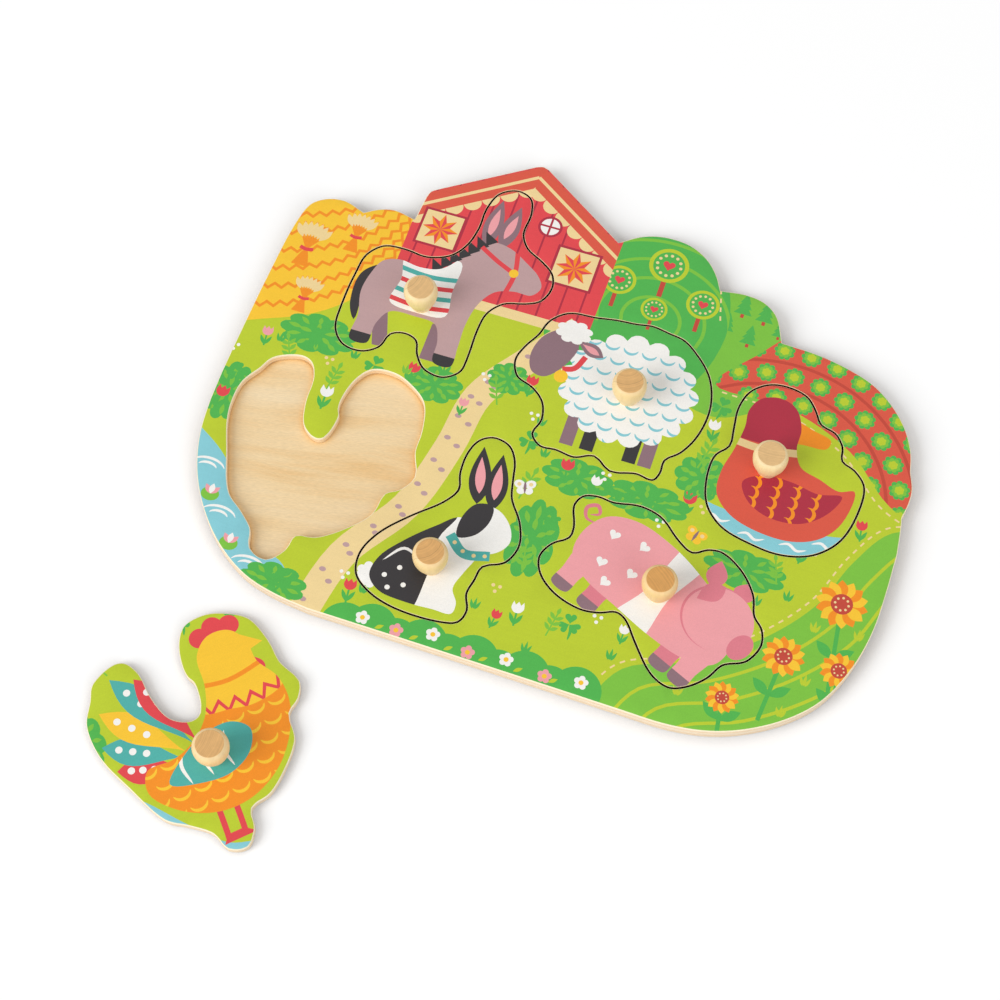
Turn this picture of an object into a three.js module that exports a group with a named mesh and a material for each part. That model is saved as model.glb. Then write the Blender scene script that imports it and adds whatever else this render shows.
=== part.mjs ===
// A wooden knob puzzle: a shaped board of two glued panels, and six animal pieces with turned knobs.
// Millimetres, +Z up. The origin is the middle of the board's underside, and +X runs along its length.
// Five pieces lie in their recesses. The rooster lies on the table in front of its empty recess.

import * as THREE from 'three';

// Driving dimensions of the board and its pieces
const boardLength = 301;     // along the straight bottom edge
const boardWidth = 243;      // from the bottom edge to the ridge of the gable
const backThickness = 3.2;   // bare panel underneath, the floor of the recesses
const frameThickness = 3.6;  // printed panel, and so the depth of a recess and the thickness of a piece
const sawKerf = 0.9;         // gap all round a piece in its recess
const edgeEase = 0.4;        // sanded chamfer along the outside edges

// Driving dimensions of a knob
const knobHeight = 14;           // from the face of the piece to the flat top
const knobDiameter = 15;         // at the belly
const knobShoulderHeight = 3.7;  // from the belly up to the flat top
const knobShoulderWidth = 1.8;   // how far the shoulder draws in from the belly to the flat top
const knobTopEase = 0.6;         // drop of the soft edge round the flat top
const knobFootDiameter = 9.4;    // where the knob stands on the piece
const knobFootSpread = 0.5;      // how gently the sides start to swell above the foot
const spigotDiameter = 6;        // glued into the hole drilled in the piece
const spigotShy = 0.4;           // how far the spigot stops short of the underside of the piece
const spigotChamfer = 0.5;
const glueGap = 0.1;             // round the spigot

// Where the loose rooster lies, in squares of the drawing grid, and how far it is turned
const looseMiddle = [-9.42, -18.34];
const looseTurn = THREE.MathUtils.degToRad(44.1);

// Facets
const stepsPerPoint = 3;  // straight steps along a curve between two points of an outline
const knobSides = 24;
const flareSteps = 6;
const shoulderSteps = 4;

// Colours
const birch = { color: 0xe9cfa2, roughness: 0.65 };
const printedMeadow = { color: 0xa9cc3a, roughness: 0.45 };
const beech = { color: 0xe3bc7f, roughness: 0.5 };

// The board's outline, in grid squares, anticlockwise: stretches of smooth curve that meet at the notches
const boardStretches = [
  // bottom edge and the round corner on the right
  [[-7.5, -12], [-4, -12.03], [0, -12.08], [3, -12.12], [6, -12.17], [8, -12.18], [9.6, -11.94],
    [11, -11.42], [12.5, -10.47], [13.65, -9.27], [14.45, -7.62], [14.9, -5.8], [15.03, -4], [15.05, -1.9]],
  // two low bushes on the right edge
  [[15.05, -1.9], [14.95, -0.9], [14.85, -0.2]],
  [[14.85, -0.2], [14.97, 0.5], [14.96, 1.2], [14.7, 2]],
  // shoulder of the field
  [[14.7, 2], [14.5, 2.9], [14, 3.95], [13.2, 4.9], [12.2, 5.64], [11, 6.08], [9.5, 6.37], [7.85, 6.45]],
  // two round hills
  [[7.85, 6.45], [7.3, 7.66], [6.6, 8.2], [5.7, 8.35], [4.55, 8.2]],
  [[4.55, 8.2], [4.2, 8.86], [3.6, 9.55], [2.7, 10.05], [1.8, 10.17], [1, 10.07], [0.3, 9.79], [-0.5, 9.2]],
  // gable roof with a rounded ridge and a rounded left eave
  [[-0.5, 9.2], [-4.7, 12]],
  [[-4.7, 12], [-5, 12.08], [-5.3, 11.98]],
  [[-5.3, 11.98], [-9.1, 9.46]],
  [[-9.1, 9.46], [-9.48, 9.15], [-9.58, 8.8]],
  [[-9.58, 8.8], [-9.67, 7.48]],
  // two bushes and the left side, down to the large round corner
  [[-9.67, 7.48], [-10.7, 7.67], [-11.4, 7.48], [-12, 7.1]],
  [[-12, 7.1], [-13, 7.43], [-13.8, 7.3], [-14.45, 6.8], [-14.77, 5.5], [-14.93, 2.8], [-15, 0],
    [-15, -4], [-14.75, -6], [-14.15, -7.7], [-13.2, -9.2], [-12, -10.45], [-10.5, -11.4], [-9, -11.82],
    [-7.5, -12]],
];

// The six saw lines, in grid squares, clockwise, and where each knob stands
const animals = {
  donkey: {
    knob: [-7.88, 3.33],
    sawLine: [
      [-11.23, 4], [-11.1, 5], [-10.5, 5.7], [-9.5, 5.83], [-8.5, 5.75], [-7.5, 6.15], [-6.95, 6.95],
      [-6.74, 8], [-6.75, 9], [-6.45, 10], [-5.7, 10.43], [-5, 10.2], [-4.72, 9.4], [-4.73, 8.3],
      [-4.3, 7.6], [-3.5, 7.15], [-2.85, 6.65], [-2.63, 5.95], [-2.9, 5.15], [-3.5, 4.8], [-4.4, 4.5],
      [-4.97, 3.8], [-5.1, 2.8], [-5.06, 1.4], [-5.15, 0.6], [-5.8, 0.1], [-6.7, 0.25], [-7.22, 0.85],
      [-7.5, 1.5], [-8.1, 1.68], [-8.68, 1.45], [-8.93, 0.7], [-9.6, 0.24], [-10.5, 0.32], [-11.1, 1],
      [-11.26, 2.4],
    ],
  },
  sheep: {
    knob: [2.2, 1.72],
    sawLine: [
      [-2.45, 3.5], [-2.2, 4.3], [-1.5, 4.95], [-0.3, 5.11], [0.6, 5.27], [1.5, 5.35], [2.2, 5.47],
      [3, 5.35], [3.7, 5.22], [4.3, 4.83], [5.2, 3.9], [5.63, 2.9], [5.75, 1.9], [5.55, 0.7], [5.1, -0.2],
      [4.57, -0.75], [4.55, -1.4], [4.35, -1.82], [3.6, -1.75], [2.5, -1.98], [1.65, -1.5], [0.85, -1.82],
      [0, -1.73], [-0.7, -1.76], [-1.2, -1.3], [-1.03, -0.55], [-1.27, 0.3], [-1.9, 0.86], [-2.7, 1.2],
      [-3.03, 1.95], [-2.85, 2.7],
    ],
  },
  duck: {
    knob: [8.86, 0.26],
    sawLine: [
      [8.75, 4.38], [9.6, 4.16], [10.12, 3.6], [10.5, 3.04], [11.2, 2.8], [11.64, 2.25], [11.8, 1.6],
      [12.4, 1.32], [12.95, 0.75], [13.05, -0.3], [12.65, -2.05], [11.7, -3.08], [10.4, -3.49], [9, -3.38],
      [7.7, -3], [6.85, -2.18], [6.5, -0.9], [6.57, 0.18], [7.02, 0.8], [6.97, 1.7], [6.9, 2.7],
      [7.18, 3.65], [7.9, 4.25],
    ],
  },
  rabbit: {
    knob: [-3.28, -8.55],
    sawLine: [
      [-2.7, -2.02], [-1.95, -2.18], [-1.5, -2.8], [-1.28, -3.7], [-1.05, -4.55], [-0.4, -5.5],
      [-0.08, -6.55], [-0.4, -7.45], [-1.23, -7.93], [-1.36, -8.6], [-1.47, -9.3], [-1.22, -10],
      [-1.4, -10.6], [-2.1, -10.83], [-4, -10.85], [-5.3, -10.5], [-6.12, -9.88], [-6.3, -8.9],
      [-5.85, -7.8], [-4.8, -6.6], [-3.75, -5.6], [-3.33, -4.85], [-3.52, -4.1], [-3.53, -3.1],
      [-3.25, -2.35],
    ],
  },
  pig: {
    knob: [6.05, -6.75],
    sawLine: [
      [1.55, -4], [1.8, -3.47], [2.4, -3.3], [3.1, -3.36], [4.2, -3.17], [5.2, -3.39], [6.2, -4.2],
      [6.9, -4.55], [7.5, -4.22], [8.1, -4.16], [9.1, -4.74], [9.83, -5.65], [10.1, -6.5], [10.55, -7],
      [10.71, -7.7], [10.3, -8.55], [9.45, -9], [9.02, -9.7], [8.4, -10.3], [7.65, -10.62], [6.8, -10.3],
      [5.8, -9.2], [5.1, -8.32], [4.65, -8.13], [4, -8.37], [3.2, -8.47], [2, -8.13], [1.15, -7.45],
      [0.88, -6.7], [1.2, -6], [1.8, -5.5], [1.83, -4.95],
    ],
  },
  rooster: {
    knob: [-9.74, -6.3],
    loose: true,
    sawLine: [
      [-12, -0.88], [-11.5, -1.04], [-11.15, -1.75], [-11.07, -2.9], [-10.72, -4.05], [-10.02, -4.51],
      [-9.6, -4.36], [-9.35, -3.14], [-9.49, -2.78], [-9.53, -2.33], [-9.3, -1.25], [-8.78, -0.55],
      [-7.8, -0.43], [-6.97, -0.75], [-6.17, -1.4], [-5.8, -2.7], [-5.74, -3.75], [-5.35, -4.88],
      [-5.73, -5.59], [-6.28, -6], [-6.49, -7.08], [-7.33, -8.07], [-8.32, -8.8], [-9.18, -9.02],
      [-9.37, -9.78], [-9.95, -10.42], [-10.72, -10.15], [-11.02, -9.33], [-11.72, -8.65], [-12.52, -8],
      [-13.32, -6.2], [-13.95, -4.4], [-13.95, -2.9], [-13.46, -2], [-13.1, -1.34],
    ],
  },
};

// A smooth curve through points of the drawing grid, still in grid squares
function gridLine(points, closed) {
  const bends = points.map(([x, y]) => new THREE.Vector3(x, y, 0));
  const curve = new THREE.CatmullRomCurve3(bends, closed, 'centripetal');
  const spans = closed ? bends.length : bends.length - 1;
  const straight = bends.length === 2;
  const line = curve.getPoints(straight ? 1 : spans * stepsPerPoint);
  line.pop();
  return line.map((point) => new THREE.Vector2(point.x, point.y));
}

const drawnBoard = boardStretches.flatMap((stretch) => gridLine(stretch, false));
const drawnBox = new THREE.Box2().setFromPoints(drawnBoard);

// A point of the drawing grid in millimetres, measured from the middle of the board
function onBoard(point) {
  const size = new THREE.Vector2(boardLength, boardWidth);
  const middle = drawnBox.getCenter(new THREE.Vector2());
  return point.clone().sub(middle).divide(drawnBox.getSize(new THREE.Vector2())).multiply(size);
}

// A closed saw line in millimetres, clockwise
function sawCurve(sawLine) {
  return gridLine(sawLine, true).map(onBoard);
}

// A closed outline moved sideways: to its left for a positive distance, seen along the direction it runs
function moved(outline, distance) {
  return outline.map((point, index) => {
    const before = outline.at(index - 1);
    const after = outline[(index + 1) % outline.length];
    const along = after.clone().sub(before).normalize();
    return new THREE.Vector2(point.x - along.y * distance, point.y + along.x * distance);
  });
}

// A circle that runs clockwise, as the edge of a hole
function holeOutline(middle, radius) {
  return Array.from({ length: knobSides }, (_, index) => {
    const angle = -index * 2 * Math.PI / knobSides;
    return new THREE.Vector2(middle.x + radius * Math.cos(angle), middle.y + radius * Math.sin(angle));
  });
}

// A flat plate with chamfered edges. The material lies to the left of every edge line: the outside edge
// runs anticlockwise and the edge of a hole clockwise.
function plate(outside, holes, thickness, lowerEase, upperEase) {
  const edges = [outside, ...holes];
  const rings = [
    { inset: lowerEase, z: 0 },
    { inset: 0, z: lowerEase },
    { inset: 0, z: thickness - upperEase },
    { inset: upperEase, z: thickness },
  ].filter((ring, index, all) => index === 0 || ring.z > all[index - 1].z);
  const positions = [];
  const triangles = [];
  const ringSize = edges.reduce((sum, edge) => sum + edge.length, 0);

  const ringEdges = rings.map((ring) => edges.map((edge) => moved(edge, ring.inset)));
  ringEdges.forEach((insetEdges, level) => {
    insetEdges.flat().forEach((point) => positions.push(point.x, point.y, rings[level].z));
  });

  // walls
  for (let level = 0; level + 1 < rings.length; level += 1) {
    let first = level * ringSize;
    for (const edge of edges) {
      for (let index = 0; index < edge.length; index += 1) {
        const next = (index + 1) % edge.length;
        const [a, b] = [first + index, first + next];
        triangles.push(a, b, b + ringSize, a, b + ringSize, a + ringSize);
      }
      first += edge.length;
    }
  }

  // lower and upper face
  const lastLevel = rings.length - 1;
  for (const level of [0, lastLevel]) {
    const [contour, ...cuts] = ringEdges[level];
    const first = level * ringSize;
    for (const [a, b, c] of THREE.ShapeUtils.triangulateShape(contour, cuts)) {
      const [upper, lower] = [[a, b, c], [a, c, b]];
      (level === 0 ? lower : upper).forEach((corner) => triangles.push(first + corner));
    }
  }

  const geometry = new THREE.BufferGeometry();
  geometry.setAttribute('position', new THREE.Float32BufferAttribute(positions, 3));
  geometry.setIndex(triangles);
  return geometry;
}

// Half the section of a knob with its spigot, from the axis below to the axis above
function knobProfile() {
  const belly = knobDiameter / 2;
  const bellyHeight = knobHeight - knobShoulderHeight;
  const foot = knobFootDiameter / 2;
  const spigot = spigotDiameter / 2;
  const spigotLength = frameThickness - spigotShy;
  const flare = new THREE.CubicBezierCurve(
    new THREE.Vector2(foot, 0),
    new THREE.Vector2(foot + knobFootSpread, bellyHeight / 3),
    new THREE.Vector2(belly, bellyHeight / 2),
    new THREE.Vector2(belly, bellyHeight),
  );
  const shoulder = new THREE.QuadraticBezierCurve(
    new THREE.Vector2(belly, bellyHeight),
    new THREE.Vector2(belly, knobHeight - knobTopEase),
    new THREE.Vector2(belly - knobShoulderWidth, knobHeight),
  );
  return [
    new THREE.Vector2(0, -spigotLength),
    new THREE.Vector2(spigot - spigotChamfer, -spigotLength),
    new THREE.Vector2(spigot, spigotChamfer - spigotLength),
    new THREE.Vector2(spigot, 0),
    ...flare.getPoints(flareSteps),
    ...shoulder.getPoints(shoulderSteps).slice(1),
    new THREE.Vector2(0, knobHeight),
  ];
}

// A turned knob that stands on the plane z = 0, with its spigot below
function knobGeometry() {
  const geometry = new THREE.LatheGeometry(knobProfile(), knobSides);
  geometry.rotateX(Math.PI / 2);
  return geometry;
}

function named(name, geometry, finish) {
  const material = new THREE.MeshStandardMaterial({ ...finish, metalness: 0, flatShading: true });
  const mesh = new THREE.Mesh(geometry, material);
  mesh.name = name;
  return mesh;
}

// An animal piece with its knob, drawn where its recess is, with its underside at z = 0
function animalPiece(name, { knob, sawLine }) {
  const outline = moved(sawCurve(sawLine), -sawKerf / 2).reverse();
  const knobPlace = onBoard(new THREE.Vector2(...knob));
  const hole = holeOutline(knobPlace, spigotDiameter / 2 + glueGap);
  const slab = plate(outline, [hole], frameThickness, edgeEase, edgeEase);
  const knobMesh = named(`${name}_knob`, knobGeometry(), beech);
  knobMesh.position.set(knobPlace.x, knobPlace.y, frameThickness);
  const group = new THREE.Group();
  group.add(named(`${name}_piece`, slab, printedMeadow), knobMesh);
  return group;
}

// A group that turns and moves a piece from its recess to the place on the table where it lies
function laidOnTable(piece, sawLine) {
  const recess = new THREE.Box2().setFromPoints(sawCurve(sawLine));
  const middle = recess.getCenter(new THREE.Vector2());
  piece.position.set(-middle.x, -middle.y, 0);
  const place = onBoard(new THREE.Vector2(...looseMiddle));
  const group = new THREE.Group();
  group.position.set(place.x, place.y, 0);
  group.rotation.z = looseTurn;
  group.add(piece);
  return group;
}

const puzzle = new THREE.Group();
const boardOutline = drawnBoard.map(onBoard);
const recesses = Object.values(animals).map(({ sawLine }) => moved(sawCurve(sawLine), sawKerf / 2));

puzzle.add(named('backing_panel', plate(boardOutline, [], backThickness, edgeEase, 0), birch));

const frame = named('frame_panel', plate(boardOutline, recesses, frameThickness, 0, edgeEase), printedMeadow);
frame.position.z = backThickness;
puzzle.add(frame);

for (const [name, animal] of Object.entries(animals)) {
  const piece = animalPiece(name, animal);
  if (animal.loose) {
    puzzle.add(laidOnTable(piece, animal.sawLine));
  } else {
    piece.position.z = backThickness;
    puzzle.add(piece);
  }
}

export default puzzle;
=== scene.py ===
"""Looks of the wooden knob puzzle: a printed board of two plywood panels and six printed pieces with knobs.

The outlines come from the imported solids. Each printed face is cut into areas of flat ink, so the print is
part of the mesh. The board's own frame is used all through: millimetres while drawing, metres in Blender.
"""
import math

import bpy
from mathutils import Matrix, Vector
from mathutils.geometry import delaunay_2d_cdt

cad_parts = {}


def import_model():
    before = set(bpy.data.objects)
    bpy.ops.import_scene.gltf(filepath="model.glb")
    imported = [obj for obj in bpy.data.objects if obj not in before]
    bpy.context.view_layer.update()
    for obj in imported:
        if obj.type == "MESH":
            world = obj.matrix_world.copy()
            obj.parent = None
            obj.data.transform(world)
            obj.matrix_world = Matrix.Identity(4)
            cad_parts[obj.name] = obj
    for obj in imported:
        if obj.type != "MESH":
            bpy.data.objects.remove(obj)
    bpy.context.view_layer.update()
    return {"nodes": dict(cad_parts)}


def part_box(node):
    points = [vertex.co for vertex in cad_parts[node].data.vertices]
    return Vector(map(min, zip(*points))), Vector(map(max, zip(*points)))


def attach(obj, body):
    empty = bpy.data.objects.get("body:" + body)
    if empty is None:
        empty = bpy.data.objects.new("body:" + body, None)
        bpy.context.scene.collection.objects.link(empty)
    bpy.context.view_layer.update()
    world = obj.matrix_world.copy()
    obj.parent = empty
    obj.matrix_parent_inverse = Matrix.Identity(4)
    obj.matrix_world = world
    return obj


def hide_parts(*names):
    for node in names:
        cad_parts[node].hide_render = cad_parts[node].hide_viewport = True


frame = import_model()

MM = 0.001
WHITE = (1, 1, 1, 1)
LOOSE_TURN = math.radians(44.1)  # how far the rooster on the table is turned from its recess
SEATED_WITHIN = 5.0  # a piece whose middle is nearer than this to a recess's middle lies in it

# Edges
BOARD_ROUND = 0.35   # radius of the board's sanded outer edge
SAWN_ROUND = 0.1     # radius of the sawn edges of the recesses and pieces
OPEN_ROUND = 0.35    # radius of the edges of the empty recess and its piece, which is out and in use
EDGE_STEPS = 3
CORNER = math.radians(24)  # a sharper bend than this in an outline stays a corner
CREASE = math.radians(50)  # a sharper bend than this between two faces isn't shaded smooth
STRAIGHT = 9.0       # an outline's steps that are longer than this stay straight
OUTLINE_STEPS = 3    # finer steps for each step of an outline
SAME_LEVEL = 0.02    # points whose heights differ by less than this are on one level
SAME_POINT = 1e-5    # points of a print that are nearer than this are one

# The material slots of a panel: its upper face, its outer edge, its underside and the edges of its holes
UPPER, OUTER, UNDER, INNER = range(4)

# Knobs
KNOB_SIDES = 72
KNOB_STEPS = 4       # finer steps for each step of a knob's profile
KNOB_EDGE = 0.3      # width of the soft edge round the flat top
KNOB_TOP_BLEND = 0.1  # how far below the flat top the end grain shows
# For each knob: how its grain is turned in degrees, how far off the pith was in mm, and how warm its tone is
KNOB_WOOD = {"donkey": (20, 14, 0.3), "sheep": (62, 9, 0.58), "duck": (88, 30, 0.22),
             "rabbit": (35, 9, 0.74), "pig": (-48, 34, 1.0), "rooster": (5, 26, 0.6)}

# Textures: repeats per metre along each axis, fineness, and the darkest and lightest shade that they give
PRINT_GRAIN = ((28, 620, 200), 4, 0.985, 1.012)
PRINT_SPECKLE = ((2600, 2600, 2600), 2, 0.95, 1.045)
PRINT_CLOUD = ((70, 110, 90), 2, 0.985, 1.01)
EDGE_FIBRES = ((160, 160, 3800), 4, 0.93, 1.03)
EDGE_PORES = ((2600, 2600, 1500), 2, 0.95, 1.02)
FACE_LINES = ((30, 800, 300), 3, 0.97, 1.02)
FACE_FLECKS = ((420, 2400, 900), 2, 0.91, 1.045)
KNOB_YEARS = ((1500, 1, 1), 3, 0.97, 1.02)
KNOB_FIBRES = ((420, 420, 30), 3, 0.94, 1.05)
# Textures that give no shade by themselves: repeats per metre and fineness
FACE_SWAY = ((9, 16, 9), 2)
FACE_BANDS = ((7, 80, 40), 5)
KNOB_SWAY = ((110, 110, 25), 2)
KNOB_PORES = ((4200, 4200, 160), 2)
NOISE_ROUGHNESS = 0.55
FACE_SWAY_BY = 0.016   # how far the veneer's grain sways, in metres
KNOB_SWAY_BY = 0.0012  # how far a knob's growth rings sway, in metres
# Shades over a part of a texture's range: the darkest, the lightest, and where they start and end
TOP_GROWTH = (0.88, 1.07, 0.38, 0.62)
PORE_SHADE = (0.95, 1.01, 0.28, 0.5)
GRAIN_TURN = math.radians(12)  # of the bare veneer against the board's length
SPLIT_AT, SPLIT_WIDTH = 11.0, 0.16  # a dark line in some knobs: how far from the pith, and how wide
SPLIT_SHADE = 0.72
LATHE_MARKS = 9000     # turns of the tool up a knob, in radians per metre
LATHE_RELIEF = 0.12    # how much the tool's marks raise the surface, against the pores
GRAIN_RELIEF, SPECKLE_RELIEF = 0.5, 0.3  # the same for a print
BUMP_DEPTH = 0.0002    # in metres
# Surfaces: the least and the greatest roughness, the strength of the bump, and the shine
PRINT_LOOK = (0.42, 0.5, 0.1, 0.35)
EDGE_LOOK = (0.55, 0.68, 0.3, 0.3)
FACE_LOOK = (0.52, 0.64, 0.3, 0.32)
KNOB_LOOK = (0.4, 0.5, 0.06, 0.4)

# Tones of the woods
GLUE, PALE, CORE, RIM = "#D3A47C", "#F4E3C8", "#EED1AC", "#FAEDCD"
# The layers of a plywood edge: the share of its thickness from below, and the tone
PLIES = ((0, GLUE), (0.06, PALE), (0.32, PALE), (0.36, CORE), (0.64, CORE), (0.68, PALE), (0.86, PALE),
         (0.9, RIM))
FACE_TONES = ((0.3, "#EFC68B"), (0.44, "#F4D6A5"), (0.7, "#F8E1B9"))
KNOB_SIDE_TONES = ("#F3DCAC", "#EFCB91")  # pale and warm
KNOB_TOP_TONES = ("#E6C28C", "#D9A05A")

# Saw gaps: a painted shade on the surfaces in and beside them
GAP_REACH = 0.004     # how near a wall has to be for a saw gap's shade, in metres
TOUCH_REACH = 0.0004  # what is nearer than this lies on the surface, in metres
# The painted shade by how open a surface is, from a narrow gap to the open
GAP_SHADES = ((0.32, (0.004, 0.002, 0.001, 1)), (0.42, (0.38, 0.22, 0.08, 1)), (0.52, (0.87, 0.7, 0.48, 1)),
              (0.64, (1, 0.92, 0.78, 1)), (0.9, WHITE))

# Camera, as the photograph was taken
PICTURE = 1000
FOCAL_PIXELS = 2000
SENSOR = 36
CAMERA_UP = math.radians(64)      # above the table
CAMERA_ROUND = math.radians(18.4)  # to the right of square
CAMERA_AIM = (-15.2, -47.1)       # where the picture's middle meets the printed face
CAMERA_AWAY = 847.5

# Stage
FLOOR_SIZE = 12.0
FLOOR_TONE = 0.8     # for the light that the floor throws back
FLOOR_SEEN = 1.08    # for the camera: white where no shadow falls
FLOOR_NEAR, FLOOR_FAR = 0.2, 0.5  # between these distances the floor goes over to plain white, in metres
# The floor is darkened near the parts by a painted shade, on top of their cast shadows
FLOOR_REACH = 0.015  # how far out from the part the floor is shaded by it, in metres
# The painted shade by how open the floor is, from the part's foot to the open
FLOOR_SHADES = ((0.45, (0.66, 0.68, 0.72, 1)), (0.95, WHITE))
WORLD_LIGHT = 0.52
LAMP_AWAY = 6.0
KEY_POWER, KEY_SIZE = 242.0, 3.8
KEY_UP, KEY_ROUND = math.radians(32), math.radians(-64)
FILL_POWER, FILL_SIZE = 112.0, 4.4
FILL_UP, FILL_ROUND = math.radians(26), math.radians(40)

# Colours of the print
INK = {
    "lime": "#BDCE2E", "leaf": "#7DC23F", "bush": "#4FB34D", "red": "#E3474D", "cream": "#F3D79A",
    "yellow": "#FBC833", "orange": "#F6921F", "brick": "#DC5843", "clay": "#C34838", "sky": "#88CCD6",
    "mauve": "#C09E9E", "plum": "#8D6F77", "pink": "#F1A3A8", "rose": "#E07F8C", "burgundy": "#AE2C40",
    "teal": "#4FB0A8", "white": "#F8F6F1", "charcoal": "#2F2C2E",
}
GROUND_INK = "lime"

# Fineness of the drawing
CURVE_STEPS = 6      # steps of a smooth curve between two of its points
LEAF_STEPS = 12
HEART_SIDES = 28
BUMP_SIDES = 6       # steps for each bump of a scalloped edge


# Drawing kit: every shape is a closed loop of points, and angles are in degrees
def between(a, b, share):
    """The point at a share of the way from a to b."""
    return (a[0] + (b[0] - a[0]) * share, a[1] + (b[1] - a[1]) * share)


def polar(x, y, degrees, wide, high=None):
    """The point at an angle on a circle or an ellipse about x, y, by its radii."""
    angle = math.radians(degrees)
    return (x + wide * math.cos(angle), y + (high or wide) * math.sin(angle))


def arc(x, y, angles, wide, high=None):
    """Points at some angles on a circle or an ellipse."""
    return [polar(x, y, degrees, wide, high) for degrees in angles]


def ring(x, y, count, wide, high=None, start=0):
    """Points at even steps round a circle or an ellipse."""
    return arc(x, y, [start + 360 * i / count for i in range(count)], wide, high)


def span(a, b, c, d, steps):
    """Points of a centripetal curve from b towards c."""
    t1 = math.dist(a, b) ** 0.5
    t2 = t1 + math.dist(b, c) ** 0.5
    t3 = t2 + math.dist(c, d) ** 0.5
    points = []
    for step in range(steps):
        share = step / steps
        t = t1 + (t2 - t1) * share
        ab, bc, cd = between(a, b, t / t1), between(b, c, share), between(c, d, (t - t2) / (t3 - t2))
        early, late = between(ab, bc, t / t2), between(bc, cd, (t - t1) / (t3 - t1))
        points.append(between(early, late, share))
    return points


def smooth(points, closed=True, steps=CURVE_STEPS):
    """A smooth curve through the points."""
    if closed:
        around = [points[-1], *points, points[0], points[1]]
    else:
        around = [between(points[1], points[0], 2), *points, between(points[-2], points[-1], 2)]
    spans = len(points) if closed else len(points) - 1
    line = [p for i in range(spans) for p in span(*around[i:i + 4], steps)]
    return line if closed else [*line, points[-1]]


def shifted(line, distances, closed=False):
    """A line whose points are each moved to its left by a distance."""
    last = len(line) - 1
    out = []
    for i, ((x, y), distance) in enumerate(zip(line, distances)):
        x0, y0 = line[i - 1 if closed else max(i - 1, 0)]
        x1, y1 = line[(i + 1) % len(line) if closed else min(i + 1, last)]
        share = distance / math.hypot(x1 - x0, y1 - y0)
        out.append((x - (y1 - y0) * share, y + (x1 - x0) * share))
    return out


def beside(line, widths):
    """The outline of a line that is as wide at each point as widths says."""
    left = shifted(line, [width / 2 for width in widths])
    right = shifted(line, [-width / 2 for width in widths])
    return [p for p, width in zip(right, widths) if width > 0] + left[::-1]


def ribbon(points, width):
    """A band of even width along a smooth line."""
    line = smooth(points, closed=False)
    return beside(line, [width] * len(line))


def swelling(count, bend, power=1.0):
    """Widths that swell from nothing and fade again, as shares of the widest."""
    inner = [math.sin(math.pi * (i / count) ** bend) ** power for i in range(1, count)]
    return [0, *inner, 0]


def brush(points, width):
    """A stroke along a smooth line that swells from nothing and fades again."""
    line = smooth(points, closed=False)
    return beside(line, [width * share for share in swelling(len(line) - 1, 1, 0.6)])


def leaf(base, tip, width, fullest=0.5):
    """A leaf from base to tip, widest at the share `fullest` of its length."""
    line = [between(base, tip, i / LEAF_STEPS) for i in range(LEAF_STEPS + 1)]
    bend = math.log(0.5) / math.log(fullest)
    return beside(line, [width * share for share in swelling(LEAF_STEPS, bend)])


def disc(x, y, wide, high=None, turn=0):
    """A circle or an ellipse, by its radii."""
    sides = 16 if wide < 2.5 else 28 if wide < 9 else 56
    return placed(ring(0, 0, sides, wide, high), x, y, turn)


def scalloped(x, y, wide, high, bumps, depth):
    """An ellipse with a scalloped edge, as a cloud or a lettuce has."""
    loop = []
    for i in range(bumps * BUMP_SIDES):
        swell = 1 - depth + depth * abs(math.sin(math.pi * i / BUMP_SIDES)) ** 0.7
        loop.append(polar(x, y, 360 * i / (bumps * BUMP_SIDES), wide * swell, high * swell))
    return loop


def heart(x, y, size, turn=0):
    loop = []
    for i in range(HEART_SIDES):
        a = 2 * math.pi * i / HEART_SIDES
        up = 13 * math.cos(a) - 5 * math.cos(2 * a) - 2 * math.cos(3 * a) - math.cos(4 * a)
        loop.append((math.sin(a) ** 3 / 2, up / 32))
    return placed(loop, x, y, turn, size)


def placed(loop, x, y, turn=0, size=1):
    """A loop that is scaled and turned about its own origin, then moved."""
    c, s = size * math.cos(math.radians(turn)), size * math.sin(math.radians(turn))
    return [(x + c * px - s * py, y + s * px + c * py) for px, py in loop]


def box(x0, y0, x1, y1):
    return [(x0, y0), (x1, y0), (x1, y1), (x0, y1)]


def paced(points, step):
    """Points at even steps along a smooth line."""
    line = smooth(points, closed=False, steps=2 * CURVE_STEPS)
    marks, walked, target = [line[0]], 0, step
    for a, b in zip(line, line[1:]):
        length = math.dist(a, b)
        while walked + length >= target:
            marks.append(between(a, b, (target - walked) / length))
            target += step
        walked += length
    return marks


def zigzag(points, pitch, swing, width):
    """A zigzag band along a smooth line."""
    marks = paced(points, pitch / 2)
    swings = [swing / 2 if i % 2 else -swing / 2 for i in range(len(marks))]
    lower, upper = [shifted(marks, [out + side for out in swings]) for side in (-width / 2, width / 2)]
    return lower + upper[::-1]


class Print:
    """Shapes in painter's order. A shape with `inside` shows only where that earlier shape is."""

    def __init__(self, shapes=()):
        self.shapes = list(shapes)

    def add(self, ink, loop, inside=None):
        self.shapes.append((ink, loop, inside))
        return len(self.shapes) - 1


def adder(add, x, y, turn=0, size=1):
    """An `add` for shapes that are drawn about the origin, then scaled, turned and moved."""
    def put(ink, loop, inside=None):
        return add(ink, placed(loop, x, y, turn, size), inside)
    return put


# Motifs: each is given a print's `add`
def tulip(add, x, y, tall, ink, turn):
    """A tulip that stands at x, y."""
    put = adder(add, x, y, turn, tall)
    put("bush", ribbon([(0, 0), (0, 0.35), (0, 0.7)], 0.08))
    for side in (-1, 1):
        put("bush", leaf((0, 0.04), (side * 0.26, 0.52), 0.16))
    cup = [(-0.2, 1), (-0.24, 0.72), (-0.1, 0.55), (0.1, 0.55), (0.24, 0.72), (0.2, 1)]
    put(ink, [*smooth(cup, closed=False), (0.1, 0.86), (0, 1), (-0.1, 0.86)])


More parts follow.
